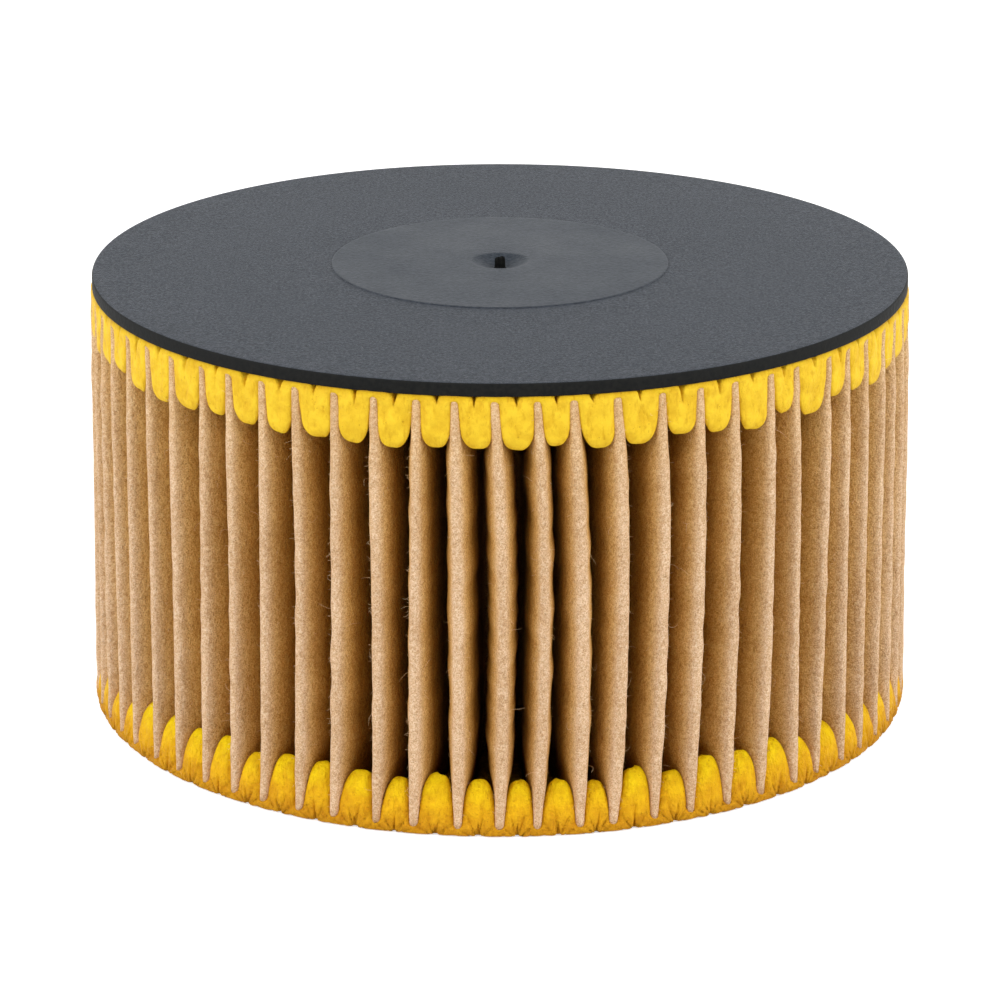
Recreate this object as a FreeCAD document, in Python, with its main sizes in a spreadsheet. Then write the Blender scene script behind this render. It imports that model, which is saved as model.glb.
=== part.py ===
import FreeCAD, Part
import math
import os
import Sketcher

# Pleated filter element: a moulded end cap, one folded filter web, two poured
# seal beads and a moulded support core. Millimetres, +Z up. The origin is the
# centre of the underside, and a ridge of the web faces -Y.

os.makedirs("parts", exist_ok=True)
doc = FreeCAD.newDocument("FilterElement")
sheet = doc.addObject("Spreadsheet::Sheet", "Sizes")

DRIVING_SIZES = {
    # the whole element
    "overall_height": 70,
    "bore_diameter": 65,
    # end cap
    "cap_diameter": 128,
    "cap_thickness": 1.8,
    "cap_edge_fall": 0.4,
    "cap_edge_width": 0.6,
    "pad_diameter": 53,
    "pad_rise": 0.15,
    "pad_foot": 0.25,
    "dimple_diameter": 9.4,
    "dimple_depth": 1.3,
    "dimple_floor": 2.8,
    "stub_diameter": 1.7,
    "stub_taper": 0.15,
    "stub_stand": 0.5,
    # folded web
    "fold_count": 66,
    "paper_thickness": 0.6,
    "ridge_stand": 0.4,
    "base_flare": 1,
    "ridge_width": 3.7,
    "ridge_flat_ratio": 0.5,
    "shoulder_slope": 0.8,
    "root_gap": 1.1,
    "pinch_slit": 0.1,
    "pinch_length": 11,
    "fold_clearance": 0.2,
    # seal beads
    "upper_web": 1.1,
    "lower_web": 1.1,
    "mouth_relief": 0.5,
    "upper_lobe_height": 7.2,
    "lower_lobe_height": 8.2,
    "lobe_root_space": 8,
    "lobe_clearance": 0.05,
    "lobe_tip_width": 1.7,
    "lobe_tip_round": 1.6,
    "upper_notch_width": 0.9,
    "upper_notch_height": 1.5,
    "lower_notch_width": 1.8,
    "lower_notch_height": 3,
    "notch_depth": 1.2,
    # support core
    "core_wall": 1.5,
    "land_length": 7,
    "land_relief": 0.4,
    "window_columns": 12,
    "window_rows": 1,
    "rib_width": 6,
    "hoop_height": 4,
    "end_ring_height": 8,
}
for row, (name, value) in enumerate(DRIVING_SIZES.items(), start=1):
    sheet.set("A%d" % row, name)
    sheet.set("B%d" % row, str(value))
    sheet.setAlias("B%d" % row, name)
doc.recompute()


class Size:
    """A length that carries its number and the formula that gives it."""

    def __init__(self, number, formula):
        self.number = number
        self.formula = formula

    def joined(self, sign, other, number):
        text = other.formula if isinstance(other, Size) else str(other)
        return Size(number, "(%s %s %s)" % (self.formula, sign, text))

    def __add__(self, other):
        return self.joined("+", other, self.number + float(other))

    def __sub__(self, other):
        return self.joined("-", other, self.number - float(other))

    def __mul__(self, other):
        return self.joined("*", other, self.number * float(other))

    def __truediv__(self, other):
        return self.joined("/", other, self.number / float(other))

    def __float__(self):
        return float(self.number)


def size(name):
    return Size(float(sheet.get(name)), "Sizes." + name)


def origin_feature(body, role):
    for feature in body.Origin.OriginFeatures:
        if feature.Role == role:
            return feature
    raise ValueError(role)


def outline(body, name, loops):
    """A sketch in the XZ plane: closed loops of (x, z) corners, all dimensioned."""
    sketch = body.newObject("Sketcher::SketchObject", name)
    sketch.AttachmentSupport = [(origin_feature(body, "XZ_Plane"), "")]
    sketch.MapMode = "FlatFace"
    for loop in loops:
        first = sketch.GeometryCount
        spots = [FreeCAD.Vector(float(x), float(z), 0) for x, z in loop]
        for index, spot in enumerate(spots):
            sketch.addGeometry(Part.LineSegment(spot, spots[(index + 1) % len(spots)]), False)
        for index in range(len(spots)):
            following = first + (index + 1) % len(spots)
            sketch.addConstraint(Sketcher.Constraint("Coincident", first + index, 2, following, 1))
        for index, (x, z) in enumerate(loop):
            for kind, length in (("DistanceX", x), ("DistanceY", z)):
                if kind == "DistanceX" and float(length) == 0:
                    sketch.addConstraint(Sketcher.Constraint("PointOnObject", first + index, 1, -2))
                    continue
                number = sketch.addConstraint(
                    Sketcher.Constraint(kind, -1, 1, first + index, 1, float(length)))
                sketch.setExpression("Constraints[%d]" % number, length.formula)
    return sketch


def revolved(body, name, sketch):
    feature = body.newObject("PartDesign::Revolution", name)
    feature.Profile = sketch
    feature.ReferenceAxis = (sketch, ["V_Axis"])
    feature.Angle = 360
    sketch.Visibility = False
    return feature


# Levels shared by the pieces
cap_underside = size("overall_height") - size("cap_thickness")
paper_top = cap_underside - size("upper_web")
paper_base = size("lower_web")
bore_radius = size("bore_diameter") / 2
core_radius = bore_radius + size("core_wall")
fold_radius = core_radius + size("fold_clearance")

# End cap: disc with an eased rim, a centre pad, and a gate dimple with the
# stub of the gate
zero = Size(0, "0")
cap_radius = size("cap_diameter") / 2
cap_top = size("overall_height")
pad_radius = size("pad_diameter") / 2
pad_top = cap_top + size("pad_rise")
dimple_bottom = pad_top - size("dimple_depth")
stub_top = pad_top + size("stub_stand")
stub_radius = size("stub_diameter") / 2

cap = doc.addObject("PartDesign::Body", "EndCap")
cap.Label = "end_cap"
cap_outline = outline(cap, "CapOutline", [[
    (zero, stub_top),
    (stub_radius - size("stub_taper"), stub_top),
    (stub_radius, dimple_bottom),
    (size("dimple_floor") / 2, dimple_bottom),
    (size("dimple_diameter") / 2, pad_top),
    (pad_radius, pad_top),
    (pad_radius + size("pad_foot"), cap_top),
    (cap_radius - size("cap_edge_width"), cap_top),
    (cap_radius, cap_top - size("cap_edge_fall")),
    (cap_radius, cap_underside),
    (zero, cap_underside),
]])
cap.Tip = revolved(cap, "CapMoulding", cap_outline)

# Support core: a tube between solid end rings, pierced by windows, with a land
# at the mouth that fits the housing's spigot
relieved_radius = bore_radius + size("land_relief")
land_top = paper_base + size("land_length")
core = doc.addObject("PartDesign::Body", "SupportCore")
core.Label = "support_core"
core_outline = outline(core, "CoreOutline", [[
    (bore_radius, paper_base),
    (core_radius, paper_base),
    (core_radius, cap_underside),
    (relieved_radius, cap_underside),
    (relieved_radius, land_top),
    (bore_radius, land_top),
]])
revolved(core, "CoreTube", core_outline)
rows = int(float(size("window_rows")))
grid_height = cap_underside - paper_base - size("end_ring_height") * 2
window_height = (grid_height + size("hoop_height")) / size("window_rows") - size("hoop_height")
column_pitch = core_radius * (2 * math.pi) / size("window_columns")
half_window = (column_pitch - size("rib_width")) / 2
window_loops = []
for index in range(rows):
    sill = paper_base + size("end_ring_height") + (window_height + size("hoop_height")) * index
    window_loops.append([
        (half_window * -1, sill),
        (half_window, sill),
        (half_window, sill + window_height),
        (half_window * -1, sill + window_height),
    ])
window_outline = outline(core, "WindowOutline", window_loops)
doc.recompute()
windows = core.newObject("PartDesign::Pocket", "Windows")
windows.Profile = window_outline
windows.Type = "Length"
windows.setExpression("Length", (core_radius * 1.2).formula)
window_outline.Visibility = False
window_ring = core.newObject("PartDesign::PolarPattern", "WindowRing")
window_ring.Originals = [windows]
window_ring.Axis = (origin_feature(core, "Z_Axis"), [""])
window_ring.Angle = 360
window_ring.setExpression("Occurrences", "Sizes.window_columns")
core.Tip = window_ring
doc.recompute()


# The folded web and the beads repeat once a fold, so each is worked out for one
# fold and turned round the axis
fold_count = int(float(size("fold_count")))
fold_angle = 2 * math.pi / fold_count
sin_half = math.sin(fold_angle / 2)
cos_half = math.cos(fold_angle / 2)
paper = float(size("paper_thickness"))
base_level = float(paper_base)
top_level = float(paper_top)
pinched_half = paper + float(size("pinch_slit")) / 2
ridge_half = float(size("ridge_width")) / 2
root_radius = float(fold_radius) + paper
root_half = root_radius * sin_half - float(size("root_gap")) / 2


def at_angle(angle, across, out, level):
    """The point that lies out from the axis and across from the ray at this angle."""
    return FreeCAD.Vector(
        out * math.sin(angle) + across * math.cos(angle),
        across * math.sin(angle) - out * math.cos(angle),
        level)


def polygon_face(points):
    return Part.Face(Part.makePolygon(list(points) + [points[0]]))


def closed_solid(faces):
    shell = Part.makeShell(faces)
    shell.sewShape()
    solid = Part.Solid(shell)
    if solid.Volume < 0:
        solid.reverse()
    return solid


def ridge_radius(level):
    """The ridges stand proud of the cap's rim and lean out towards the base."""
    under_cap = float(cap_radius + size("ridge_stand"))
    return under_cap + float(size("base_flare")) * (1 - level / float(cap_underside))


def fold_half(level, middle):
    """Half the width of a fold: pressed flat at both ends, opening to the middle."""
    share = min(level - base_level, top_level - level) / float(size("pinch_length"))
    return pinched_half + (middle - pinched_half) * min(share, 1)


def fold_section(level):
    """Half of one fold's outer and inner line at a level, from root to ridge."""
    out = ridge_radius(level)
    width = fold_half(level, ridge_half)
    root = fold_half(level, root_half)
    slope = float(size("shoulder_slope"))
    roof = out - paper
    return {
        "root": (root, (root_radius - root * sin_half) / cos_half),
        "shoulder": (width, out - slope * width),
        "crest": (width * float(size("ridge_flat_ratio")), out),
        "inner_root": (root - paper, (float(fold_radius) - (root - paper) * sin_half) / cos_half),
        "inner_shoulder": (width - paper, roof - slope * (width - paper)),
        "inner_crest": (0.0, roof),
    }


def folded_web():
    pinch = float(size("pinch_length"))
    levels = [base_level, base_level + pinch, top_level - pinch, top_level]
    sections = [fold_section(level) for level in levels]

    def spot(fold, index, name, side):
        across, out = sections[index][name]
        return at_angle(fold * fold_angle, side * across, out, levels[index])

    def line(fold, name, side):
        return [spot(fold, index, name, side) for index in range(len(levels))]

    def panel(first, second):
        return polygon_face(first + second[::-1])

    faces = []
    for fold in range(fold_count):
        faces.append(panel(line(fold, "crest", -1), line(fold, "crest", 1)))
        faces.append(panel(line(fold, "root", 1), line(fold + 1, "root", -1)))
        faces.append(panel(line(fold, "inner_root", 1), line(fold + 1, "inner_root", -1)))
        for side in (-1, 1):
            ridge_line = [spot(fold, 0, "inner_crest", 1), spot(fold, len(levels) - 1, "inner_crest", 1)]
            faces.append(panel(line(fold, "inner_shoulder", side), ridge_line))
            shoulder = line(fold, "shoulder", side)
            crest = line(fold, "crest", side)
            for low in range(len(levels) - 1):
                faces.append(panel(shoulder[low:low + 2], crest[low:low + 2]))
            for foot_name, head_name in (("root", "shoulder"), ("inner_root", "inner_shoulder")):
                foot = line(fold, foot_name, side)
                head = line(fold, head_name, side)
                for low in range(len(levels) - 1):
                    # each flank band is creased from the pressed corner to the open one
                    if low == 0:
                        faces.append(polygon_face([foot[low], head[low], head[low + 1]]))
                        faces.append(polygon_face([foot[low], head[low + 1], foot[low + 1]]))
                    else:
                        faces.append(polygon_face([foot[low], head[low], foot[low + 1]]))
                        faces.append(polygon_face([head[low], head[low + 1], foot[low + 1]]))
    outer_names = [("root", -1), ("shoulder", -1), ("crest", -1), ("crest", 1), ("shoulder", 1), ("root", 1)]
    inner_names = [("inner_root", -1), ("inner_shoulder", -1), ("inner_crest", 1),
                   ("inner_shoulder", 1), ("inner_root", 1)]
    for index in (0, len(levels) - 1):
        rings = []
        for names in (outer_names, inner_names):
            points = [spot(fold, index, name, side) for fold in range(fold_count) for name, side in names]
            rings.append(Part.makePolygon(points + [points[0]]))
        faces.append(Part.makeFace(rings, "Part::FaceMakerBullseye"))
    return closed_solid(faces)


def turned_about_axis(sector, ray_angle):
    """Repeat a sector one fold wide round the axis and close it into one solid."""
    sides = [at_angle(ray_angle + side * fold_angle / 2, 1, 0, 0) for side in (-1, 1)]
    kept = []
    for face in sector.Faces:
        on_side = any(
            all(abs(vertex.Point.dot(side)) < 1e-6 for vertex in face.Vertexes) for side in sides)
        if not on_side:
            kept.append(face)
    faces = []
    for index in range(fold_count):
        for face in kept:
            copy = face.copy()
            copy.rotate(FreeCAD.Vector(), FreeCAD.Vector(0, 0, 1), math.degrees(index * fold_angle))
            faces.append(copy)
    return closed_solid(faces)


def seal_bead(web_from, web_to, inner_radius, outer_radius, lobe_end, notch_width, notch_height):
    """One bead: a flat ring from web_from to web_to and a lobe in each outer valley
    that runs from the ring at web_to to lobe_end, with a notch at its foot."""
    up = 1 if lobe_end > web_to else -1
    ray = fold_angle / 2
    along = at_angle(ray, 0, 1, 0)
    far = outer_radius * cos_half
    near = root_radius + float(size("lobe_root_space"))

    ring_corners = [(-1, inner_radius), (1, inner_radius), (1, far), (-1, far)]
    ring = polygon_face([
        at_angle(ray, side * out * sin_half / cos_half, out, web_from) for side, out in ring_corners])
    ring = ring.extrude(FreeCAD.Vector(0, 0, web_to - web_from))

    # the lobe's flanks stay beside the folds all the way down
    clear = float(size("lobe_clearance"))
    corners = []
    for level in (web_to, lobe_end):
        beside = fold_half(level, ridge_half) + clear
        halves = [(out * sin_half - beside) / cos_half for out in (near, far)]
        corners.append([
            at_angle(ray, -halves[0], near, level),
            at_angle(ray, halves[0], near, level),
            at_angle(ray, halves[1], far, level),
            at_angle(ray, -halves[1], far, level),
        ])
    faces = [polygon_face(corners[0]), polygon_face(corners[1])]
    for index in range(4):
        following = (index + 1) % 4
        faces.append(polygon_face(
            [corners[0][index], corners[0][following], corners[1][following], corners[1][index]]))
    lobe = closed_solid(faces)

    # a rounded tip, seen from outside
    tip = float(size("lobe_tip_width")) / 2
    tip_round = float(size("lobe_tip_round"))
    wide = (far * sin_half - fold_half(lobe_end - up * tip_round, ridge_half)) / cos_half
    reach = far * sin_half
    tip_outline = [
        (-tip, lobe_end), (tip, lobe_end), (wide, lobe_end - up * tip_round),
        (reach, lobe_end - up * (tip_round * 1.5)), (reach, web_to), (-reach, web_to),
        (-reach, lobe_end - up * (tip_round * 1.5)), (-wide, lobe_end - up * tip_round),
    ]
    tip_face = polygon_face([at_angle(ray, across, near - 1, level) for across, level in tip_outline])
    lobe = lobe.common(tip_face.extrude(along * (far - near + 2)))
    sector = ring.fuse(lobe).removeSplitter()

    # a notch where the poured compound parts, at the middle of each valley, that
    # narrows to a point at its depth and is drawn past the outer face to cut it
    half_notch = notch_width / 2
    point = at_angle(ray, 0, far - float(size("notch_depth")), web_from)
    mouth = [
        at_angle(ray, -half_notch, far, web_from),
        at_angle(ray, half_notch, far, web_from),
        at_angle(ray, 0, far, web_from + up * notch_height),
    ]
    mouth = [point + (corner - point) * 1.5 for corner in mouth]
    notch = closed_solid([polygon_face(mouth)] + [
        polygon_face([point, mouth[index], mouth[index - 1]]) for index in range(3)])
    sector = sector.cut(notch)
    return turned_about_axis(sector, ray)


def solid_feature(name, label, shape):
    feature = doc.addObject("Part::Feature", name)
    feature.Label = label
    feature.Shape = shape
    feature.Placement = FreeCAD.Placement()
    return feature


web = solid_feature("FilterPleats", "filter_pleats", folded_web())
upper_bead = solid_feature("UpperSealBead", "upper_seal_bead", seal_bead(
    float(cap_underside), top_level, float(fold_radius), ridge_radius(top_level),
    top_level - float(size("upper_lobe_height")),
    float(size("upper_notch_width")), float(size("upper_notch_height"))))
lower_bead = solid_feature("LowerSealBead", "lower_seal_bead", seal_bead(
    0.0, base_level, float(bore_radius + size("mouth_relief")), ridge_radius(0.0),
    base_level + float(size("lower_lobe_height")),
    float(size("lower_notch_width")), float(size("lower_notch_height"))))
doc.recompute()

sub_parts = [cap, core, web, upper_bead, lower_bead]
for item in doc.Objects:
    if "Invalid" in item.State or "Error" in item.State:
        raise RuntimeError("not rebuilt: " + item.Name)
for item in sub_parts:
    if item.Shape.isNull() or not item.Shape.isValid() or len(item.Shape.Solids) != 1:
        raise RuntimeError("not one valid solid: " + item.Label)
for item in sub_parts:
    item.Shape.exportStep("parts/%s.step" % item.Label)
    print(item.Label, len(item.Shape.Faces), "faces", round(item.Shape.Volume, 1), "mm3")
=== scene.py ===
import math

import bmesh
import bpy
import numpy as np
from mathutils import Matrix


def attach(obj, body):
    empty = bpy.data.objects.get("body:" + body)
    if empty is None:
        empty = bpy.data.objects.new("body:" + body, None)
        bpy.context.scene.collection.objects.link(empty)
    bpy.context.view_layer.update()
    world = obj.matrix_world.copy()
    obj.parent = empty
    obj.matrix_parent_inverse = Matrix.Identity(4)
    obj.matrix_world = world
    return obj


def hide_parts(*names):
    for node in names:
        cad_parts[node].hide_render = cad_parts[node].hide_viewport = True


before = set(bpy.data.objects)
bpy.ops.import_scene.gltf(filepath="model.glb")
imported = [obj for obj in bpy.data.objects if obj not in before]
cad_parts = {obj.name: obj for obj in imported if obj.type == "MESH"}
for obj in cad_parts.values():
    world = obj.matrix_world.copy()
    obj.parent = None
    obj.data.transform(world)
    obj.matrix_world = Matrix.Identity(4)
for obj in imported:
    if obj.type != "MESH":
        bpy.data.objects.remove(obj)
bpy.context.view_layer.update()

# All sizes are in millimetres; new_piece turns them into the frame's metres.
MM = 0.001
FOLDS = 66
PITCH = 2 * math.pi / FOLDS
CAP_RADIUS = 64.0
CAP_UNDER = 68.2
PAPER_TOP = 67.1
PAPER_BASE = 1.1
PAPER_HEIGHT = 66
PAPER = 0.6
# the web's inner radius and the outer one of its inner turns
FOLD_RADIUS = 34.2
ROOT_RADIUS = 34.8
# the crests' radius under the cap, how far they flare out down to the base, and how far they
# are drawn in over the last few millimetres below the upper bead
CREST_RADIUS = 64.6
BASE_FLARE = 0.9
TOP_DRAW = 0.18
TOP_DRAW_FROM = 54
TOP_DRAW_OVER = 9
# half the width of a fold, and of its root where it is pinched and where it is open
FOLD_HALF = 1.85
ROOT_PINCHED = 0.65
ROOT_OPEN = 1.1
FOLD_GAP = 0.35
# how far the front lobes reach from the bead's outer face, from the valley beside the
# 13th fold on the left to the one beside the 13th on the right
UPPER_REACH = [8.2, 7.9, 9.0, 9.0, 8.6, 8.1, 8.4, 8.7, 8.4, 8.6, 8.8, 8.4, 8.4, 8.6,
               8.1, 8.8, 8.7, 8.0, 8.5, 9.2, 7.9, 9.3, 8.0, 8.4, 9.2, 8.5, 8.4]
LOWER_REACH = [7.6, 7.8, 9.0, 8.9, 8.7, 9.2, 8.1, 9.0, 9.1, 8.7, 8.3, 9.3, 8.6, 8.5,
               8.4, 7.9, 9.3, 7.8, 9.1, 8.5, 8.9, 7.5, 8.1, 7.9, 7.5, 8.0, 8.0]

rng = np.random.RandomState(11)


# ---- mesh helpers

def new_piece(name, points, faces, replaced=()):
    mesh = bpy.data.meshes.new(name)
    mesh.from_pydata((np.asarray(points) * MM).tolist(), [], faces)
    mesh.update()
    mesh.polygons.foreach_set("use_smooth", [True] * len(mesh.polygons))
    piece = bpy.data.objects.new(name, mesh)
    bpy.context.scene.collection.objects.link(piece)
    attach(piece, "root")
    if replaced:
        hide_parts(*replaced)
    return piece


def weld(piece):
    """Join the points that neighbouring patches share, so that they shade as one."""
    skin = bmesh.new()
    skin.from_mesh(piece.data)
    bmesh.ops.remove_doubles(skin, verts=skin.verts, dist=2e-7)
    skin.to_mesh(piece.data)
    skin.free()
    return piece


def polar(angle, out, across=0.0):
    """x and y of points out from the axis on a ray and across from it; the ray at 0 is -Y."""
    x = out * np.sin(angle) + across * np.cos(angle)
    y = across * np.sin(angle) - out * np.cos(angle)
    return x, y


def ease(value):
    value = np.clip(value, 0, 1)
    return value * value * (3 - 2 * value)


def wander(rows, count, reach, waves=3):
    """Smooth random lines: one for each of count items, sampled at rows in 0..1."""
    line = np.zeros((count, len(rows)))
    for wave in range(1, waves + 1):
        phase = rng.uniform(0, 2 * math.pi, (count, 1))
        size = rng.normal(0, 1, (count, 1)) / wave
        line += size * np.sin(phase + rows[None, :] * math.pi * wave * 1.3)
    return line * reach


def ripple(reach):
    """Short waves, 4 to 11 mm long, at KNOTS for every fold."""
    line = np.zeros((FOLDS, len(KNOTS)))
    for _ in range(4):
        length = rng.uniform(4, 11, (FOLDS, 1))
        phase = rng.uniform(0, 2 * math.pi, (FOLDS, 1))
        waves = np.sin(phase + 2 * math.pi * KNOTS[None, :] * PAPER_HEIGHT / length)
        line += rng.normal(0, 1, (FOLDS, 1)) * waves
    return line * reach


# ---- folds: where each ridge runs and how wide it is

KNOTS = np.linspace(0, 1, 110)
# degrees by which the folds at the front, from the 13th on the left to the 14th on the right,
# leave an even spacing: at the foot, half way up and at the top of the web
FIRST_SEEN = -13
FOOT_TURN = [-0.2, -0.2, -0.7, 0.0, -0.1, 0.1, 0.0, -0.5, -0.3, -0.6, -0.1, -0.5, -0.1, -0.1,
             -0.6, -0.4, -1.4, -1.1, -1.3, -1.1, -0.9, -0.2, -1.0, -0.6, -1.0, -1.2, -1.0, -0.5]
MID_TURN = [-0.7, -0.7, -0.7, -0.2, 0.0, 0.5, 0.2, 0.1, 0.0, -0.1, 0.1, -0.2, 0.0, 0.4,
            0.4, -0.1, -0.1, 0.0, -0.2, -0.1, 0.3, -0.3, 0.0, -0.4, -0.6, -0.4, -0.8, -0.3]
TOP_TURN = [-1.2, -1.2, -1.1, -0.8, -0.5, 0.4, -0.1, 0.0, -0.3, -0.1, -0.1, 0.1, -0.4, -0.7,
            -0.7, -1.4, -1.1, -0.4, -0.4, -0.5, 0.0, -0.7, 0.4, -0.5, -0.8, -0.6, -1.2, -1.0]


def fold_turns():
    """How far each fold turns from its even place, at KNOTS, in radians."""
    stations = rng.normal(0, 0.38, (FOLDS, 3)) * 0.6 + rng.normal(0, 0.38, (FOLDS, 1)) - 0.5
    for place, turns in enumerate(zip(FOOT_TURN, MID_TURN, TOP_TURN)):
        stations[(FIRST_SEEN + place) % FOLDS] = turns
    foot, middle, top = stations[:, 0:1], stations[:, 1:2], stations[:, 2:3]
    share = KNOTS[None, :]
    bend = (foot * (1 - share) * (1 - 2 * share) + middle * 4 * share * (1 - share)
            + top * share * (2 * share - 1))
    free = np.sin(math.pi * share) ** 0.5
    return np.radians(bend + (wander(KNOTS, FOLDS, 0.06, 4) + ripple(0.026)) * free)


# each fold's turn, width, radius and bulge at KNOTS, half the width of its ends, and how far
# from them it is tapered
turn_line = fold_turns()
width_line = 0.97 + rng.normal(0, 0.05, (FOLDS, 1)) + wander(KNOTS, FOLDS, 0.03, 4) + ripple(0.022)
out_line = wander(KNOTS, FOLDS, 0.06, 4) + ripple(0.02)
bulge_line = wander(KNOTS, FOLDS, 0.20, 4) + ripple(0.04)
tip_half = 0.66 + rng.uniform(-0.06, 0.08, FOLDS)
taper_length = 11.8 + rng.normal(0, 0.9, FOLDS)


def along(lines, fold, level):
    """One fold's value of a line at a height."""
    share = (np.asarray(level) - PAPER_BASE) / (PAPER_TOP - PAPER_BASE)
    return np.interp(np.clip(share, 0, 1), KNOTS, lines[fold % FOLDS])


def ridge_turn(fold, level):
    return along(turn_line, fold, level)


def edge_distance(level):
    """How far a height is from the nearer edge of the web."""
    return np.minimum(level - PAPER_BASE, PAPER_TOP - level)


def ridge_out(fold, level):
    level = np.asarray(level, dtype=float)
    drawn = TOP_DRAW * ease((level - TOP_DRAW_FROM) / TOP_DRAW_OVER)
    return CREST_RADIUS + BASE_FLARE * (1 - level / CAP_UNDER) - drawn + along(out_line, fold, level)


def ridge_half(fold, level):
    level = np.asarray(level, dtype=float)
    share = ease((edge_distance(level) + 0.6) / taper_length[fold % FOLDS])
    middle = FOLD_HALF * along(width_line, fold, level)
    tip = tip_half[fold % FOLDS]
    return tip + (middle - tip) * share


# ---- filter pleats

# half the fold's width at depths behind its crest, as shares of its full half width, where the
# fold is open and where it is pinched flat
CREST_DEPTH = [0.0, 0.05, 0.2, 0.5, 1.0, 2.2, 4.5, 8.0]
CREST_OPEN = [0.0, 0.19, 0.33, 0.45, 0.55, 0.76, 1.06, 1.22]
CREST_PINCHED = [0.0, 0.36, 0.68, 0.92, 1.0, 1.0, 1.0, 1.0]
# places between the root and the crest's section, as shares of the way
FLANK = [0.0, 0.33, 0.67]


def openness(inside):
    """0 where the fold is pinched at the web's edge, 1 where it is open."""
    return ease((inside + 0.6) / 10)


def fold_section(fold, levels):
    """Across and out from the axis, for every level and every point around one fold's paper."""
    inside = edge_distance(levels)
    opened = openness(inside)
    half = ridge_half(fold, levels)
    out = ridge_out(fold, levels)
    turn = ridge_turn(fold, levels)
    root = ROOT_PINCHED + (ROOT_OPEN - ROOT_PINCHED) * ease(inside / 11)
    deep = CREST_DEPTH[-1]
    widths, outs = [], []
    for share in FLANK:
        widths.append(root + (half - root) * share)
        outs.append(ROOT_RADIUS + (out - deep - ROOT_RADIUS) * share)
    for depth, wide, pinched in list(zip(CREST_DEPTH, CREST_OPEN, CREST_PINCHED))[:0:-1]:
        widths.append(half * (pinched + (wide - pinched) * opened))
        outs.append(out - depth)
    # the walls of neighbouring folds stay apart
    left_apart = turn - ridge_turn(fold - 1, levels)
    right_apart = ridge_turn(fold + 1, levels) - turn
    left, right = [], []
    for width, spot_out in zip(widths, outs):
        share = (spot_out - ROOT_RADIUS) / (out - ROOT_RADIUS)
        left_room = 0.5 * (PITCH * spot_out + left_apart * out * share) - FOLD_GAP
        right_room = 0.5 * (PITCH * spot_out + right_apart * out * share) - FOLD_GAP
        left.append(-np.minimum(width, left_room))
        right.append(np.minimum(width, right_room))
    across = left + [0 * half] + right[::-1]
    outs = outs + [out] + outs[::-1]
    inner_half, inner_root, roof = half - PAPER, root - PAPER, out - PAPER
    inner = [
        (inner_root, FOLD_RADIUS + 0 * roof), (inner_half, roof - deep), (0 * half, roof - 0.1),
        (-inner_half, roof - deep), (-inner_root, FOLD_RADIUS + 0 * roof),
    ]
    across = np.array(across + [item[0] for item in inner]).T
    outs = np.array(outs + [item[1] for item in inner]).T
    share = (outs - ROOT_RADIUS) / (out[:, None] - ROOT_RADIUS)
    bulge = along(bulge_line, fold, levels) * ease(inside / 8)
    swell = bulge[:, None] * np.sin(math.pi * np.clip(share, 0, 1))
    return across + swell + turn[:, None] * out[:, None] * share, outs


def make_pleats():
    rows = 55
    even = np.linspace(0, 1, rows)
    # a little closer together towards both edges
    step = 0.25 * (0.5 - 0.5 * np.cos(math.pi * even)) + 0.75 * even
    levels = PAPER_BASE + (PAPER_TOP - PAPER_BASE) * step
    side_count = len(FLANK) + len(CREST_DEPTH) - 1
    outer_count = 2 * side_count + 1
    inner_count = 5
    per_fold = outer_count + inner_count
    points = np.zeros((rows, FOLDS, per_fold, 3))
    for fold in range(FOLDS):
        across, outs = fold_section(fold, levels)
        x, y = polar(fold * PITCH, outs, across)
        points[:, fold, :, 0] = x
        points[:, fold, :, 1] = y
        points[:, fold, :, 2] = levels[:, None]
    total = FOLDS * per_fold

    def index(row, fold, spot):
        return row * total + (fold % FOLDS) * per_fold + spot

    faces = []
    for fold in range(FOLDS):
        loop = []
        for spot in range(outer_count - 1):
            loop.append(((fold, spot), (fold, spot + 1)))
        loop.append(((fold, outer_count - 1), (fold + 1, 0)))
        for spot in range(outer_count, per_fold - 1):
            loop.append(((fold, spot), (fold, spot + 1)))
        loop.append(((fold + 1, per_fold - 1), (fold, outer_count)))
        for low in range(rows - 1):
            for first, second in loop:
                faces.append((index(low, *first), index(low, *second),
                              index(low + 1, *second), index(low + 1, *first)))
        for row, order in ((0, -1), (rows - 1, 1)):
            ring = [index(row, fold, spot) for spot in range(per_fold)]
            faces.append(tuple(ring[::order]))
            gap = [index(row, fold, outer_count - 1), index(row, fold + 1, 0),
                   index(row, fold + 1, per_fold - 1), index(row, fold, outer_count)]
            faces.append(tuple(gap[::order]))
    return new_piece("folded_web", points.reshape(-1, 3), faces, ["filter_pleats"])


# ---- seal beads

# rows of points along a tooth: over the ring's edge, as shares of it, then straight, then the tip
BAND_ROWS = np.array([0.0, 0.1, 0.25, 0.45, 0.7, 1.0])
STRAIGHT_ROWS = 13
TIP_ROWS = 9
# how far behind the crests a ring of points around the tooth lies, with the share of its reach
# that the tooth still has there; the last ring is at BEAD_INNER
SETBACKS = ((2.2, 0.93), (8.0, 0.45), (None, 0.2))
BEAD_INNER = 42.8
UNSEEN_REACH = (8.4, 0.45)
# from the camera a leaning tip looks higher than it is, by this share of its lean
LEAN_LIFT = 0.32
RING_SIDES = 264
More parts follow.
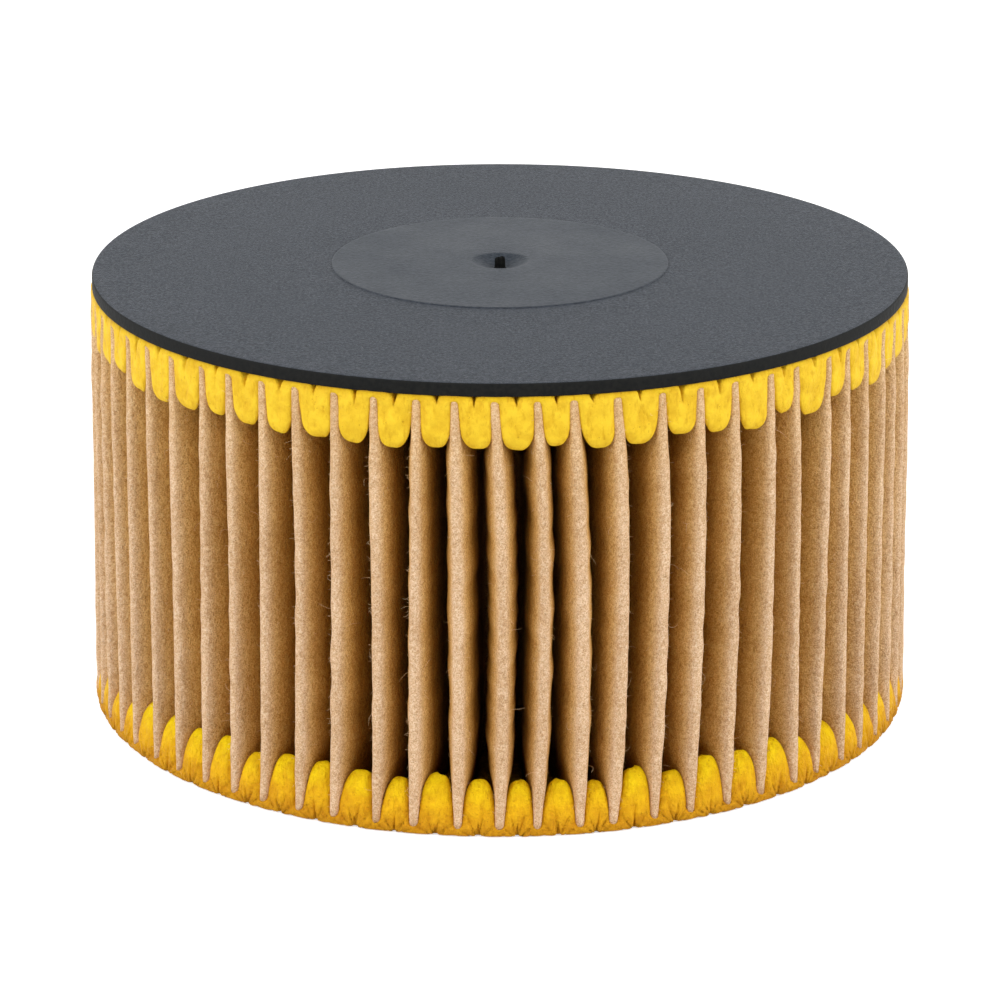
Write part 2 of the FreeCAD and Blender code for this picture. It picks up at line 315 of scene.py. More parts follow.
# What the values of a bead's shape mean. proud: how far the teeth stand out over the crests;
# margin, narrow: gap to the folds at the foot, and what the tip adds; round_off, square: length
# and fullness of the rounded tip; curl_in, lean: how far the tip rolls in and the face leans in;
# edge_drop, flatness: how far the sides fall back and how flat the middle stays; notch_, dip,
# wrinkle: the notch at the rim, its shoulder and the creases around it; rim_: the rounded rim.
UPPER_SHAPE = dict(
    proud=-0.02, margin=0.08, narrow=0.12, round_off=2.8, square=0.7, curl_in=1.3, lean=0.0,
    edge_drop=0.45, flatness=6.0, notch_width=1.0, notch_height=2.1, notch_depth=1.8, dip=0.32,
    wrinkle=0.0, rim_size=1.5, rim_back=0.8)
LOWER_SHAPE = dict(
    proud=0.07, margin=0.19, narrow=0.48, round_off=2.7, square=0.50, curl_in=1.1, lean=1.7,
    edge_drop=0.75, flatness=4.6, notch_width=0.7, notch_height=1.6, notch_depth=0.45, dip=0.10,
    wrinkle=0.42, rim_size=0.3, rim_back=0.1)


def lumps(across, deep):
    """Two soft random waves over the face of a tooth."""
    first = 0.06 * np.sin(across * rng.uniform(1.0, 2.0) + deep[:, None] * rng.uniform(0.4, 1.0)
                          + rng.uniform(0, 6))
    second = 0.04 * np.sin(across * rng.uniform(-2.8, 2.8) + deep[:, None] * rng.uniform(1.3, 2.4)
                           + rng.uniform(0, 6))
    return first + second


def cut_notch(surface, across, from_start, side, shape):
    """The notch at the bead's rim, its shoulder and the creases that fan out from it."""
    width = shape["notch_width"] * rng.uniform(0.7, 1.3)
    height = shape["notch_height"] * rng.uniform(0.7, 1.3)
    centre = rng.normal(0, 0.15)
    opening = 0.5 * width * np.clip(1 - from_start / height, 0, 1) ** 1.3
    off_notch = np.abs(across - centre)
    notch = ease((opening - off_notch) / 0.13 + 0.5) * (from_start < height)
    surface = surface - shape["notch_depth"] * notch
    fade = np.clip(1 - from_start / (1.8 * height), 0, 1)
    shoulder = np.exp(-(np.maximum(off_notch - opening, 0) / 0.4) ** 2) * fade
    surface = surface - shape["dip"] * shoulder
    fan = np.arctan2(across - centre, 0.35 * height + from_start)
    pleated = np.exp(-((from_start - 0.9 * height) / (1.3 * height)) ** 2) * (1 - side ** 6)
    creases = (1 - np.abs(np.sin(fan * rng.uniform(5, 7) + rng.uniform(0, 6)))) ** 3
    return surface - shape["wrinkle"] * pleated * creases


class Tooth:
    """The lobe of one valley. deep is the distance of its rows of points from the ring."""

    def __init__(self, valley, web_to, web, up, reach, spread, shape):
        bend = rng.normal(0, 0.22)
        skew = rng.normal(0, 0.22)
        round_length = shape["round_off"] * rng.uniform(0.85, 1.15)
        tip_angle = np.linspace(0, math.pi / 2, TIP_ROWS + 1)[1:]
        self.deep = np.concatenate([
            BAND_ROWS * web - web,
            np.linspace(0.1, reach - round_length, STRAIGHT_ROWS),
            reach - round_length + round_length * np.sin(tip_angle)])
        deep = self.deep
        self.level = web_to + up * deep
        paper_level = np.where(deep > 0, self.level, web_to + up * 0.01)
        left_out, right_out = ridge_out(valley, paper_level), ridge_out(valley + 1, paper_level)
        left_half, right_half = ridge_half(valley, paper_level), ridge_half(valley + 1, paper_level)
        self.left_half = left_half
        self.out = 0.5 * (left_out + right_out)
        self.lengthwise = np.clip(deep / reach, 0, 1)
        # above the end of a crest the teeth beside it meet in an arch
        arch = np.sqrt(1 - (1 - np.clip(deep / 0.32, 0, 1)) ** 2)
        clear = shape["margin"] + shape["narrow"] * self.lengthwise ** 1.5
        left_edge = ridge_turn(valley, paper_level) + arch * (0.52 * left_half + clear) / self.out
        right_edge = (PITCH + ridge_turn(valley + 1, paper_level)
                      - arch * (0.52 * right_half + clear) / self.out)
        middle = 0.5 * (left_edge + right_edge)
        half = 0.5 * (right_edge - left_edge)
        self.tip = np.ones(len(deep))
        self.tip[-TIP_ROWS:] = np.maximum(np.cos(tip_angle), 0.03) ** shape["square"]
        curl = np.zeros(len(deep))
        curl[-TIP_ROWS:] = (1 - np.cos(tip_angle)) ** 1.3
        self.middle = middle + bend * self.lengthwise ** 2 / self.out
        angle = self.middle[:, None] + (half * self.tip)[:, None] * spread[None, :]
        edge_round = shape["edge_drop"] * arch ** 2 * np.clip(deep / 0.8 + 0.3, 0, 1) * (1 - curl)
        side = np.abs(spread)[None, :]
        share = (spread[None, :] + 1) / 2
        surface = left_out[:, None] * (1 - share) + right_out[:, None] * share + shape["proud"]
        surface = surface - edge_round[:, None] * side ** shape["flatness"]
        surface = surface - shape["curl_in"] * curl[:, None]
        surface = surface - skew * curl[:, None] * spread[None, :]
        surface = surface - shape["lean"] * self.lengthwise[:, None] ** 2
        across = (angle - self.middle[:, None]) * self.out[:, None]
        from_start = (deep + web)[:, None]
        surface = surface + lumps(across, deep) * (1 - side ** 4)
        surface = cut_notch(surface, across, from_start, side, shape)
        rim_round = 1 - np.clip(from_start / shape["rim_size"], 0, 1)
        surface = surface - shape["rim_back"] * (1 - np.sqrt(1 - rim_round ** 2))
        ray = valley * PITCH + angle
        height = np.repeat(self.level[:, None], len(spread), 1)
        self.front = np.stack([surface * np.sin(ray), -surface * np.cos(ray), height], -1)


def make_bead(name, node, web_from, web_to, reaches, ring_radii, columns, shape):
    """A flat ring, and in front of it one tooth for each valley, all joined into one skin."""
    up = 1 if web_to > web_from else -1
    order = -up
    web = abs(web_to - web_from)
    spread = np.linspace(-1, 1, columns)
    spread = np.sign(spread) * np.abs(spread) ** 1.3
    points, faces = [], []
    for valley in range(FOLDS):
        seen = (valley - FIRST_SEEN) % FOLDS
        reach = (reaches[seen] if seen < len(reaches) else rng.normal(*UNSEEN_REACH)) - web
        reach -= LEAN_LIFT * shape["lean"] * max(math.cos((valley + 0.5) * PITCH), 0)
        tooth = Tooth(valley, web_to, web, up, reach, spread, shape)
        start = len(points)
        rows = len(tooth.deep)
        points.extend(tooth.front.reshape(-1, 3).tolist())
        for row in range(rows - 1):
            for column in range(columns - 1):
                a = start + row * columns + column
                faces.append((a, a + 1, a + columns + 1, a + columns)[::order])
        rim = [row * columns for row in range(rows)]
        rim += [(rows - 1) * columns + column for column in range(1, columns)]
        rim += [row * columns + columns - 1 for row in range(rows - 2, -1, -1)]
        rim += [column for column in range(columns - 2, 0, -1)]
        last_ring = [start + spot for spot in rim]
        # behind the front the tooth falls away towards the web
        for setback, keep in SETBACKS:
            ring_start = len(points)
            for spot in rim:
                row, column = divmod(spot, columns)
                out = tooth.out[row]
                ring_out = BEAD_INNER
                if setback is not None:
                    ring_out = out - setback - shape["lean"] * tooth.lengthwise[row] ** 2
                share = spread[column] * tooth.tip[row]
                if tooth.deep[row] > 0:
                    room = ring_out * PITCH / 2 - 0.8 * tooth.left_half[row]
                    way = (ring_out - ROOT_RADIUS) / (out - ROOT_RADIUS)
                    turn = tooth.middle[row] * way + PITCH / 2 * (1 - way)
                    turn += share * max(room, 0.3) / ring_out
                    ring_level = web_to + up * max(tooth.deep[row] * keep - 0.2, -0.3)
                else:
                    turn = PITCH / 2 + share * PITCH / 2 * 0.98
                    ring_level = web_from + up * web * 0.6
                turn += valley * PITCH
                points.append([ring_out * math.sin(turn), -ring_out * math.cos(turn), ring_level])
            ring = list(range(ring_start, ring_start + len(rim)))
            for place in range(len(rim)):
                following = (place + 1) % len(rim)
                quad = (last_ring[place], last_ring[following], ring[following], ring[place])
                faces.append(quad[::order])
            last_ring = ring
        faces.append(tuple(last_ring)[::order])
    # the flat ring behind the teeth
    inner, outer = ring_radii
    section = [(inner, web_from), (outer, web_from), (outer, web_to), (inner, web_to)]
    start = len(points)
    for step in range(RING_SIDES):
        turn = step * 2 * math.pi / RING_SIDES
        for out, level in section:
            points.append([out * math.sin(turn), -out * math.cos(turn), level])
    for step in range(RING_SIDES):
        following = (step + 1) % RING_SIDES
        for corner in range(4):
            next_corner = (corner + 1) % 4
            a = start + step * 4 + corner
            b = start + step * 4 + next_corner
            c = start + following * 4 + next_corner
            d = start + following * 4 + corner
            faces.append((a, b, c, d) if up < 0 else (a, d, c, b))
    return weld(new_piece(name, points, faces, [node]))


# ---- end cap

CAP_SIDES = 240
# the cap's half section from the middle of its top to the edge: torn stub, dimple, pad, face
CAP_FACE = [
    (0.0, 70.60), (0.35, 70.66), (0.62, 70.60), (0.76, 70.46), (0.80, 70.1), (0.83, 69.5),
    (0.86, 69.1), (0.92, 68.93), (1.05, 68.87), (1.32, 68.86), (1.5, 68.92), (2.0, 69.13),
    (3.0, 69.53), (4.0, 69.92), (4.45, 70.08), (4.7, 70.135), (5.0, 70.15), (8.0, 70.15),
    (14.0, 70.15), (20.0, 70.15), (25.8, 70.15), (26.3, 70.15), (26.5, 70.14), (26.55, 70.06),
    (26.60, 69.95), (26.68, 69.95), (26.76, 70.0), (27.05, 70.0), (30.0, 70.0), (40.0, 70.0),
    (50.0, 70.0), (58.0, 70.0), (62.0, 70.0), (63.4, 70.0),
]
FACE_RADIUS = 63.4
# the face is a little crowned: this much in the middle, and its edge lies lower by FACE_DROP
CROWN = 0.29
FACE_DROP = 0.15
# middle and radius of the edge's rounding, then the edge and the underside
ROUNDING = (63.86, 69.52, 0.32)
CAP_REST = [
    (64.19, 69.0), (64.2, 68.6), (64.2, 67.92), (64.16, 67.85), (64.06, 67.84), (62.0, 68.2),
    (50.0, 68.2), (30.0, 68.2), (10.0, 68.2), (0.0, 68.2),
]
STUB_RADIUS = 0.9
STUB_FOOT = 69.0
# material numbers on the cap, by distance from the axis
GRAINED, PAD, EDGE, DIMPLE, TORN = range(5)
ZONES = ((1.1, TORN), (4.4, DIMPLE), (26.5, PAD), (63.98, GRAINED))
UNDERSIDE_BELOW = 68.6


def cap_zone(out, height):
    if height < UNDERSIDE_BELOW:
        return EDGE
    for reach, number in ZONES:
        if out < reach:
            return number
    return EDGE


def make_cap():
    profile = [(r, z - FACE_DROP + CROWN * (1 - (r / FACE_RADIUS) ** 2)) for r, z in CAP_FACE]
    round_r, round_z, rounding = ROUNDING
    for angle in np.linspace(0, math.pi / 2, 7)[1:]:
        profile.append((round_r + rounding * math.sin(angle), round_z + rounding * math.cos(angle)))
    profile += CAP_REST
    points = [(0.0, 0.0, profile[0][1])]
    faces = []
    # uneven heights around the torn stub: one random value for every 8 steps, smoothed
    steps = np.tile(rng.normal(0, 1, CAP_SIDES // 8).repeat(8), 3)
    ragged = np.convolve(steps, np.ones(9) / 9, "same")[CAP_SIDES:2 * CAP_SIDES]
    for r, z in profile[1:-1]:
        for step in range(CAP_SIDES):
            turn = step * 2 * math.pi / CAP_SIDES
            lift, shift = 0.0, 0.0
            if r < STUB_RADIUS and z > STUB_FOOT:
                torn = max(0.0, min(1.0, (z - 69.2) / 1.4))
                lift = 0.10 * torn * ragged[step] + 0.12 * torn * math.sin(turn + 0.8)
                shift = 0.05 * torn * ragged[(step * 3) % CAP_SIDES]
            points.append(((r + shift) * math.sin(turn), -(r + shift) * math.cos(turn), z + lift))
    rings = len(profile) - 2
    points.append((0.0, 0.0, profile[-1][1]))
    last = len(points) - 1
    for step in range(CAP_SIDES):
        following = (step + 1) % CAP_SIDES
        faces.append((0, 1 + step, 1 + following))
        for ring in range(rings - 1):
            a = 1 + ring * CAP_SIDES
            faces.append((a + step, a + CAP_SIDES + step, a + CAP_SIDES + following, a + following))
        a = 1 + (rings - 1) * CAP_SIDES
        faces.append((a + step, last, a + following))
    piece = new_piece("cap_moulding_piece", points, faces, ["end_cap"])
    for polygon in piece.data.polygons:
        x, y, z = (value / MM for value in polygon.center)
        polygon.material_index = cap_zone(math.hypot(x, y), z)
    return piece


# ---- loose hairs of the felted web

LONG_HAIRS = 760
FUZZ_PER_FOLD = 110


def hair_start(fold, level, side, depth):
    """A point on a fold's wall, and the direction that its crest faces."""
    opened = openness(edge_distance(level))
    shape = [p + (o - p) * opened for o, p in zip(CREST_OPEN, CREST_PINCHED)]
    wide = float(ridge_half(fold, level)) * float(np.interp(depth, CREST_DEPTH, shape))
    ray = fold * PITCH + float(ridge_turn(fold, level))
    spot = np.array([side * (wide - 0.02), -(float(ridge_out(fold, level)) - depth), level])
    return spot, ray


def make_hairs():
    """Long loose hairs, and a short fuzz along both sides of each crest."""
    points, faces = [], []

    def grow(fold, level, side, depth, length, thick, joints, curl):
        spot, ray = hair_start(fold, level, side, depth)
        heading = np.array([side * rng.uniform(0.2, 1.0), rng.uniform(-0.7, 0.1), rng.normal(0, 0.8)])
        heading /= np.linalg.norm(heading)
        drift = rng.normal(0, curl, 3)
        first = len(points)
        c, s = math.cos(ray), math.sin(ray)
        for joint in range(joints):
            across = np.cross(heading, [0.3, 0.5, 0.81])
            across /= np.linalg.norm(across)
            other = np.cross(heading, across)
            taper = thick * (1 - 0.6 * joint / (joints - 1))
            for corner in range(3):
                turn = corner * 2 * math.pi / 3
                local = spot + taper * (math.cos(turn) * across + math.sin(turn) * other)
                points.append((local[0] * c - local[1] * s, local[0] * s + local[1] * c, local[2]))
            spot = spot + heading * length / (joints - 1)
            heading = heading + drift + rng.normal(0, 0.12, 3)
            heading /= np.linalg.norm(heading)
        for joint in range(joints - 1):
            for corner in range(3):
                a = first + joint * 3 + corner
                b = first + joint * 3 + (corner + 1) % 3
                faces.append((a, b, b + 3, a + 3))
        faces.append((first + 2, first + 1, first))
        tail = first + (joints - 1) * 3
        faces.append((tail, tail + 1, tail + 2))

    for _ in range(LONG_HAIRS):
        grow(fold=rng.randint(FOLDS), level=rng.uniform(PAPER_BASE + 3, PAPER_TOP - 3),
             side=rng.choice([-1, 1]), depth=rng.uniform(0.1, 2.2), length=rng.uniform(0.8, 2.6),
             thick=rng.uniform(0.018, 0.032), joints=8, curl=0.32)
    for fold in range(FOLDS):
        for _ in range(FUZZ_PER_FOLD):
            grow(fold, level=rng.uniform(PAPER_BASE + 1, PAPER_TOP - 1),
                 side=rng.choice([-1, 1]), depth=rng.uniform(0.05, 2.2), length=rng.uniform(0.25, 0.8),
                 thick=rng.uniform(0.020, 0.032), joints=3, curl=0.3)
    return new_piece("loose_hairs", points, faces)


# ---- materials

class Shader:
    """A node material with one Principled shader."""

    def __init__(self, name, **values):
        self.material = bpy.data.materials.new(name)
        self.material.use_nodes = True
        self.tree = self.material.node_tree
        self.main = self.tree.nodes["Principled BSDF"]
        for socket, value in values.items():
            self.main.inputs[socket.replace("_", " ")].default_value = value

    def node(self, kind, **settings):
        made = self.tree.nodes.new(kind)
        for name, value in settings.items():
            setattr(made, name, value)
        return made

    def join(self, source, target):
        self.tree.links.new(source, target)

    def place(self, stretch=(1, 1, 1)):
        """Object coordinates, which are the frame's, in metres."""
        coords = self.node("ShaderNodeTexCoord")
        mapping = self.node("ShaderNodeMapping")
        mapping.inputs["Scale"].default_value = stretch
        self.join(coords.outputs["Object"], mapping.inputs["Vector"])
        return mapping.outputs["Vector"]

    def noise(self, scale, detail=3.0, roughness=0.5, stretch=(1, 1, 1)):
        made = self.node("ShaderNodeTexNoise")
        made.inputs["Scale"].default_value = scale
        made.inputs["Detail"].default_value = detail
        made.inputs["Roughness"].default_value = roughness
        self.join(self.place(stretch), made.inputs["Vector"])
        return made.outputs["Fac"]

    def strands(self, scale, turns):
        """Noise drawn out eight times as long in one direction."""
        coords = self.node("ShaderNodeTexCoord")
        mapping = self.node("ShaderNodeMapping", vector_type="TEXTURE")
        mapping.inputs["Rotation"].default_value = turns
        mapping.inputs["Scale"].default_value = (1, 1, 8)
        self.join(coords.outputs["Object"], mapping.inputs["Vector"])
        made = self.node("ShaderNodeTexNoise")
        made.inputs["Scale"].default_value = scale
        made.inputs["Detail"].default_value = 1.0
        self.join(mapping.outputs["Vector"], made.inputs["Vector"])
        return made.outputs["Fac"]

    def ramp(self, source, stops):
        made = self.node("ShaderNodeValToRGB")
        band = made.color_ramp
        while len(band.elements) < len(stops):
            band.elements.new(0.5)
        for element, (place, colour) in zip(band.elements, stops):
            element.position = place
            element.color = (*colour, 1)
        self.join(source, made.inputs["Fac"])
        return made.outputs["Color"]

    def spread(self, source, low, high, to_low=0.0, to_high=1.0):
        made = self.node("ShaderNodeMapRange")
        limits = {"From Min": low, "From Max": high, "To Min": to_low, "To Max": to_high}
        for name, value in limits.items():
            made.inputs[name].default_value = value
        self.join(source, made.inputs["Value"])
        return made.outputs["Result"]

    def mix(self, factor, first, second, blend="MIX"):
        """Numbers and colours are set on the node, and anything else is linked to it."""
        made = self.node("ShaderNodeMix", data_type="RGBA", blend_type=blend)
        sockets = (made.inputs[0], made.inputs[6], made.inputs[7])
        for socket, value in zip(sockets, (factor, first, second)):
            if isinstance(value, (int, float)):
                socket.default_value = value
            elif isinstance(value, tuple):
                socket.default_value = (*value, 1)
            else:
                self.join(value, socket)
        return made.outputs[2]

    def axis_distance(self):
        parts = self.node("ShaderNodeSeparateXYZ")
        self.join(self.place(), parts.inputs[0])
        flat = self.node("ShaderNodeCombineXYZ")
        self.join(parts.outputs[0], flat.inputs[0])
        self.join(parts.outputs[1], flat.inputs[1])
        length = self.node("ShaderNodeVectorMath", operation="LENGTH")
        self.join(flat.outputs[0], length.inputs[0])
        return length.outputs["Value"]

    def darken(self, factor, tone, source, stops):
        """Multiply a tone by a ramp."""
        return self.mix(factor, tone, self.ramp(source, stops), "MULTIPLY")

    def height_share(self, levels):
        parts = self.node("ShaderNodeSeparateXYZ")
        self.join(self.place(), parts.inputs[0])
        return self.spread(parts.outputs[2], *levels)

    def bump(self, layers):
        last = None
        for source, strength, distance in layers:
            made = self.node("ShaderNodeBump")
            made.inputs["Strength"].default_value = strength
            made.inputs["Distance"].default_value = distance
            self.join(source, made.inputs["Height"])
            if last is not None:
                self.join(last, made.inputs["Normal"])
            last = made.outputs["Normal"]
        self.join(last, self.main.inputs["Normal"])

    def colour(self, source):
        self.join(source, self.main.inputs["Base Color"])


def paper_material():
    felt = Shader("felted_paper", Roughness=0.95, Specular_IOR_Level=0.1)
    patches = felt.noise(130, 3, 0.5, (1, 1, 0.6))
    mottle = felt.noise(1500, 4, 0.6, (1, 1, 0.8))
    grain = felt.noise(4800, 3, 0.6)
    tone = felt.ramp(mottle, [
        (0.32, (0.57, 0.340, 0.170)), (0.50, (0.74, 0.480, 0.280)), (0.68, (0.88, 0.620, 0.405))])
    speck = felt.ramp(grain, [
        (0.35, (0.34, 0.175, 0.070)), (0.50, (0.73, 0.472, 0.270)), (0.65, (1.0, 0.850, 0.635))])
    tone = felt.mix(0.5, tone, speck)
    tone = felt.darken(0.7, tone, patches, [(0.34, (0.84, 0.78, 0.70)), (0.62, (1, 1, 1))])
    ways = ((0.55, 0.3, 0.0), (-0.7, 0.5, 0.4), (1.5, 0.2, 0.9))
    strands = [felt.strands(2600, turns) for turns in ways]
    for strand in strands:
        tone = felt.mix(felt.spread(strand, 0.58, 0.70, 0.0, 0.26), tone, (0.98, 0.79, 0.57))
    # painted light: the web is warmer beside its crests, a painted tint of light bounced between the
    # folds, darker in the outer valleys as painted shade, and paler again inside
    # painted bounce light: a warmer tint beside the crests, near neutral on them
    crest = felt.spread(felt.axis_distance(), 0.0634, 0.0649)
    tone = felt.darken(1.0, tone, crest, [(0.0, (1.03, 0.97, 0.69)), (1.0, (0.96, 0.955, 0.95))])
    # painted shade: the web darkens with depth into the valleys
    depth = felt.spread(felt.axis_distance(), 0.0400, 0.0648)
    tone = felt.darken(1.0, tone, depth, [
        (0.0, (0.90, 0.84, 0.68)), (0.50, (0.56, 0.43, 0.155)), (0.81, (0.56, 0.43, 0.155)),
        (0.905, (0.83, 0.725, 0.475)), (1.0, (1, 1, 1))])
    felt.colour(tone)
    dents = felt.noise(330, 2, 0.5, (1, 1, 0.7))
    felt.bump([(patches, 0.3, 0.0012), (dents, 0.8, 0.0006), (mottle, 0.9, 0.0003),
               (grain, 0.9, 0.00018), (strands[0], 0.35, 0.0002), (strands[1], 0.35, 0.0002)])
    return felt.material


def hair_material():
    hair = Shader("loose_fibre", Roughness=0.9, Specular_IOR_Level=0.0)
    hair.colour(hair.ramp(hair.noise(300, 2), [(0.3, (0.72, 0.46, 0.24)), (0.7, (0.95, 0.72, 0.47))]))
    return hair.material


def seal_material(name, levels, tones, uneven=1.0):
    """Poured compound; tones run over the heights in levels, in metres, and paint light and shade over a
    bead's height.
    """
    seal = Shader(name, Roughness=0.55, Specular_IOR_Level=0.11)
    cloud = seal.noise(480, 4, 0.6)
    streak = seal.noise(1500, 4, 0.65, (1, 1, 0.35))
    pits = seal.noise(1900, 2, 0.5)
    level = seal.mix(0.35, seal.height_share(levels), cloud, "OVERLAY")
    # painted light and shade: the tones follow the height, with a little cloud mixed in
    tone = seal.ramp(level, tones)
    tone = seal.darken(0.75, tone, cloud, [(0.33, (0.79, 0.67, 0.42)), (0.60, (1, 1, 1))])
    tone = seal.darken(0.6, tone, streak, [(0.34, (0.80, 0.68, 0.42)), (0.46, (1, 1, 1))])
    tone = seal.darken(0.5, tone, pits, [(0.25, (0.50, 0.33, 0.12)), (0.31, (1, 1, 1))])
    seal.colour(tone)
    skin = seal.noise(3200, 3, 0.6)
    seal.bump([(cloud, 0.6 * uneven, 0.0006), (streak, 0.7 * uneven, 0.00025), (pits, 0.4, 0.00015),
               (skin, 0.5 * uneven, 0.00012)])
    return seal.material


def cap_material():
    plastic = Shader("grained_black_plastic", Specular_IOR_Level=0.265)
    grain = plastic.noise(2300, 4, 0.75)
    cloud = plastic.noise(60, 3, 0.5)
    tone = plastic.ramp(grain, [
        (0.35, (0.001, 0.003, 0.008)), (0.50, (0.010, 0.016, 0.026)), (0.65, (0.048, 0.058, 0.074))])
    coarse = plastic.noise(950, 3, 0.6)
    spots = plastic.ramp(coarse, [(0.38, (0.001, 0.003, 0.008)), (0.62, (0.040, 0.048, 0.062))])
    tone = plastic.mix(0.4, tone, spots)
    haze = plastic.ramp(cloud, [(0.3, (0.008, 0.012, 0.018)), (0.7, (0.022, 0.026, 0.034))])
    tone = plastic.mix(0.25, tone, haze)
    plastic.colour(tone)
    plastic.join(plastic.spread(grain, 0.35, 0.65, 0.62, 0.40), plastic.main.inputs["Roughness"])
    plastic.bump([(coarse, 0.4, 0.0002), (grain, 1.0, 0.00016)])
    return plastic.material


def pad_material(name, shine):
    plastic = Shader(name, Specular_IOR_Level=shine)
    grain = plastic.noise(2000, 3, 0.6)
    cloud = plastic.noise(90, 3, 0.5)
    plastic.colour(plastic.ramp(grain, [(0.35, (0.006, 0.011, 0.018)), (0.65, (0.030, 0.037, 0.048))]))
    plastic.join(plastic.spread(cloud, 0.3, 0.7, 0.40, 0.48), plastic.main.inputs["Roughness"])
    plastic.bump([(grain, 0.7, 0.00012)])
    return plastic.material


def edge_material(name, shine):
    plastic = Shader(name, Specular_IOR_Level=shine)
    grain = plastic.noise(1400, 3, 0.6)
    plastic.colour(plastic.ramp(grain, [(0.35, (0.005, 0.0055, 0.0055)), (0.65, (0.012, 0.012, 0.011))]))
    plastic.join(plastic.spread(grain, 0.3, 0.7, 0.55, 0.75), plastic.main.inputs["Roughness"])
    plastic.bump([(grain, 0.5, 0.00015)])
    return plastic.material


def core_material():
    plastic = Shader("black_plastic", Roughness=0.5, Specular_IOR_Level=0.5)
    cloud = plastic.noise(160, 3, 0.5)
    plastic.colour(plastic.ramp(cloud, [(0.3, (0.016, 0.016, 0.017)), (0.7, (0.026, 0.026, 0.028))]))
    plastic.bump([(plastic.noise(2500, 2, 0.5), 0.2, 0.0001)])
    return plastic.material


def assign(piece, *materials):
    for material in materials:
        piece.data.materials.append(material)


pleats = make_pleats()
upper_bead = make_bead("upper_bead", "upper_seal_bead", CAP_UNDER, PAPER_TOP, UPPER_REACH,
                       ring_radii=(FOLD_RADIUS, 62.0), columns=27, shape=UPPER_SHAPE)
lower_bead = make_bead("lower_bead", "lower_seal_bead", 0.0, PAPER_BASE, LOWER_REACH,
                       ring_radii=(33.0, 64.8), columns=31, shape=LOWER_SHAPE)
cap = make_cap()
hairs = make_hairs()
assign(pleats, paper_material())
assign(hairs, hair_material())
# painted shadow: the upper bead darkens over its top millimetre, just under the cap's rim
assign(upper_bead, seal_material("yellow_seal_upper", (0.058, 0.068), [
    (0.0, (0.84, 0.555, 0.026)), (0.90, (0.85, 0.570, 0.030)), (0.96, (0.66, 0.420, 0.010)),
    (1.0, (0.28, 0.140, 0.004))]))
# painted light: the lower bead runs from a darker orange at its foot, painted shade, to a lighter lemon
# on its lobes' upper parts, a painted top light
assign(lower_bead, seal_material("yellow_seal_lower", (0.0, 0.0095), [
    (0.0, (0.54, 0.256, 0.005)), (0.14, (0.67, 0.322, 0.007)), (0.45, (0.83, 0.463, 0.006)),
    (0.85, (0.90, 0.642, 0.003))], uneven=2.3))
# in the order GRAINED, PAD, EDGE, DIMPLE, TORN
assign(cap, cap_material(), pad_material("smooth_black_plastic", 0.235),
       edge_material("matt_black_plastic", 0.08), pad_material("dimple_black_plastic", 0.16),
       edge_material("torn_black_plastic", 0.02))
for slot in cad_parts["support_core"].material_slots:
    slot.material = core_material()


# ---- stage, light and camera

def white_for_camera(shader_tree, white_strength, other_strength):
    """white_strength for camera, glossy and transmission rays, other_strength for the rest."""
    path = shader_tree.nodes.new("ShaderNodeLightPath")
    first = shader_tree.nodes.new("ShaderNodeMath")
    first.operation = "MAXIMUM"
    second = shader_tree.nodes.new("ShaderNodeMath")
    second.operation = "MAXIMUM"
    shader_tree.links.new(path.outputs["Is Camera Ray"], first.inputs[0])
    shader_tree.links.new(path.outputs["Is Glossy Ray"], first.inputs[1])
    shader_tree.links.new(first.outputs[0], second.inputs[0])
    shader_tree.links.new(path.outputs["Is Transmission Ray"], second.inputs[1])
    strength = shader_tree.nodes.new("ShaderNodeMapRange")
    strength.inputs["To Min"].default_value = other_strength
    strength.inputs["To Max"].default_value = white_strength
    shader_tree.links.new(second.outputs[0], strength.inputs["Value"])
    return strength.outputs["Result"]


world = bpy.data.worlds.new("studio")
bpy.context.scene.world = world
world.use_nodes = True
backdrop = world.node_tree.nodes["Background"]
backdrop.inputs["Color"].default_value = (1, 1, 1, 1)
world.node_tree.links.new(white_for_camera(world.node_tree, 1.0, 0.12), backdrop.inputs["Strength"])

FLOOR_REACH = 4
FLOOR_LEVEL = -0.0002
FLOOR_GLOW = 0.55

signs = ((-1, -1), (1, -1), (1, 1), (-1, 1))
corners = [(x * FLOOR_REACH, y * FLOOR_REACH, FLOOR_LEVEL) for x, y in signs]
floor_mesh = bpy.data.meshes.new("floor")
floor_mesh.from_pydata(corners, [], [(0, 1, 2, 3)])
floor = bpy.data.objects.new("floor", floor_mesh)
bpy.context.scene.collection.objects.link(floor)
ground = bpy.data.materials.new("pale_floor")
ground.use_nodes = True
ground_tree = ground.node_tree
ground_main = ground_tree.nodes["Principled BSDF"]
ground_main.inputs["Base Color"].default_value = (0.8, 0.8, 0.8, 1)
ground_main.inputs["Roughness"].default_value = 1.0
ground_main.inputs["Specular IOR Level"].default_value = 0.0
ground_main.inputs["Emission Color"].default_value = (1, 1, 1, 1)
glow = white_for_camera(ground_tree, FLOOR_GLOW, 0.0)
ground_tree.links.new(glow, ground_main.inputs["Emission Strength"])
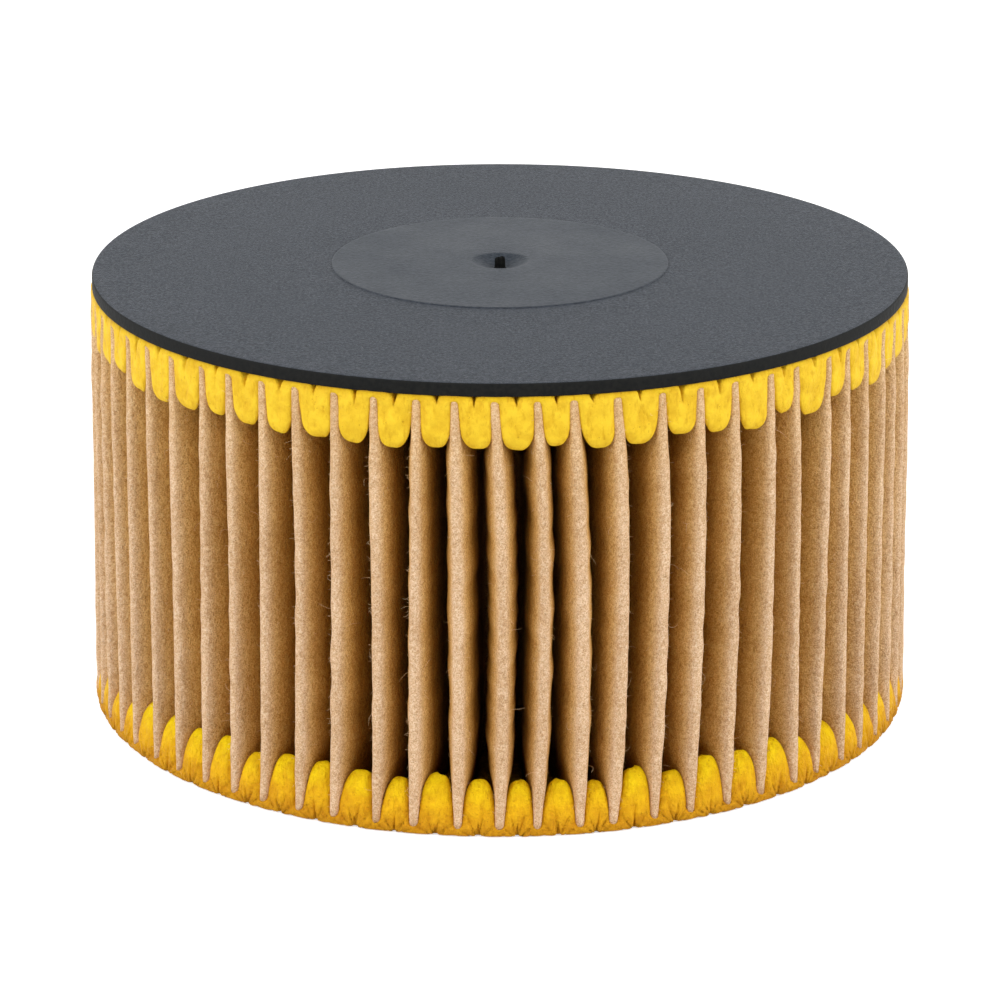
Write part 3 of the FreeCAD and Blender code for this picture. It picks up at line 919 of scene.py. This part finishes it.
# far from the object, where the lamps no longer reach, the floor glows more
coords = ground_tree.nodes.new("ShaderNodeTexCoord")
away = ground_tree.nodes.new("ShaderNodeVectorMath")
away.operation = "LENGTH"
ground_tree.links.new(coords.outputs["Object"], away.inputs[0])
rise = ground_tree.nodes.new("ShaderNodeMapRange")
for name, value in (("From Min", 0.3), ("From Max", 1.1), ("To Min", FLOOR_GLOW), ("To Max", 1.0)):
    rise.inputs[name].default_value = value
ground_tree.links.new(away.outputs["Value"], rise.inputs["Value"])
ground_tree.links.new(rise.outputs["Result"], glow.node.inputs["To Max"])
floor_mesh.materials.append(ground)

LAMP_AIM = 0.035


def softbox(name, azimuth, elevation, distance, size, power):
    """A square light that faces the object's middle; azimuth 0 is the camera's side."""
    light = bpy.data.lights.new(name, "AREA")
    light.shape = "SQUARE"
    light.size = size
    light.energy = power
    lamp = bpy.data.objects.new(name, light)
    a, e = math.radians(azimuth), math.radians(elevation)
    lamp.location = (distance * math.cos(e) * math.sin(a), -distance * math.cos(e) * math.cos(a),
                     LAMP_AIM + distance * math.sin(e))
    lamp.rotation_euler = (math.pi / 2 - e, 0, a)
    bpy.context.scene.collection.objects.link(lamp)


softbox("left_box", -60, 28, 1.2, 1.2, 12.6)
softbox("right_box", 60, 28, 1.2, 1.2, 12.6)
softbox("top_box", 0, 70, 1.3, 0.9, 5)
softbox("back_left_box", -122, 28, 1.2, 1.2, 3.5)
softbox("back_right_box", 122, 28, 1.2, 1.2, 3.5)

# fitted to the outlines of the cap and the base in the photograph, in cap radii and radians
CAMERA_BACK = 9.5113
CAMERA_UP = 3.7353
CAMERA_DOWN = 0.3304

camera_data = bpy.data.cameras.new("camera")
camera_data.sensor_width = 36
camera_data.lens = 143.79
camera_data.clip_start = 0.01
camera = bpy.data.objects.new("camera", camera_data)
camera.location = (0, -CAMERA_BACK * CAP_RADIUS * MM, CAMERA_UP * CAP_RADIUS * MM)
camera.rotation_euler = (math.pi / 2 - CAMERA_DOWN, 0, 0)
bpy.context.scene.collection.objects.link(camera)
bpy.context.scene.camera = camera
bpy.context.scene.view_settings.view_transform = "Standard"
